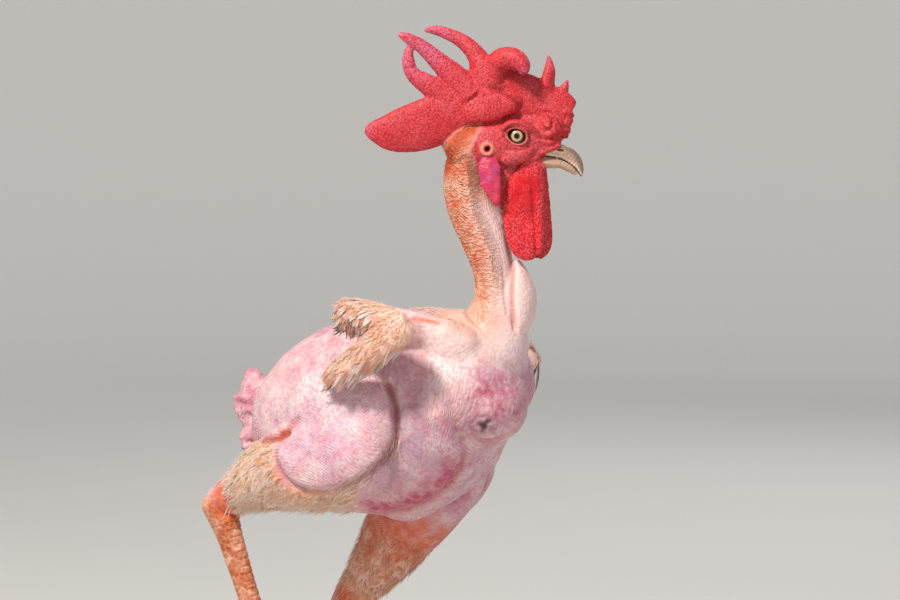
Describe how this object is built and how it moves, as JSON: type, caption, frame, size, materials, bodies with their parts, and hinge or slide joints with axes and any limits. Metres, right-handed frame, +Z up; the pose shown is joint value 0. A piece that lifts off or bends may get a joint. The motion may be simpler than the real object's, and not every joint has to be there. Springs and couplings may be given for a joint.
{
  "type": "featherless chicken",
  "caption": "Still life-size featherless cockerel in mid step: bare pink body, stubbly wings, large red comb and wattles, one foot flat and one pushing off.",
  "frame": {"origin": "on the floor, under the middle of the bird's bounding box", "axes": "+X the way the trunk faces, +Y the bird's left, +Z up; the head and neck are turned 30 degrees to the bird's left"},
  "size_m": [0.2534, 0.1882, 0.4843],
  "materials": {
    "bare_skin": "satin pink skin with fine wrinkles",
    "neck_skin": "peach-orange pebbled skin",
    "red_skin": "bright red granular skin",
    "lobe_skin": "magenta wrinkled skin",
    "shank_skin": "orange-red scaled skin",
    "stub_feathers": "sparse orange and cream stub feathers",
    "horn": "satin horn",
    "eye": "wet, glossy"
  },
  "bodies": {
    "root": {"torso": "bare_skin", "tail": "bare_skin", "leg_left": "bare_skin", "leg_right": "bare_skin", "neck": "neck_skin", "head": "red_skin", "comb": "red_skin", "wattle_left": "red_skin", "wattle_right": "red_skin", "ear_lobe_left": "lobe_skin", "ear_lobe_right": "lobe_skin", "shank_left": "shank_skin", "shank_right": "shank_skin", "foot_left": "shank_skin", "foot_right": "shank_skin", "wing_arm_left": "stub_feathers", "wing_arm_right": "stub_feathers", "wing_hand_left": "stub_feathers", "wing_hand_right": "stub_feathers", "bill_upper": "horn", "bill_lower": "horn", "spur_left": "horn", "spur_right": "horn", "claw_left_middle": "horn", "claw_left_inner": "horn", "claw_left_outer": "horn", "claw_left_hind": "horn", "claw_right_middle": "horn", "claw_right_inner": "horn", "claw_right_outer": "horn", "claw_right_hind": "horn", "eye_left": "eye", "eye_right": "eye"}
  },
  "joints": []
}
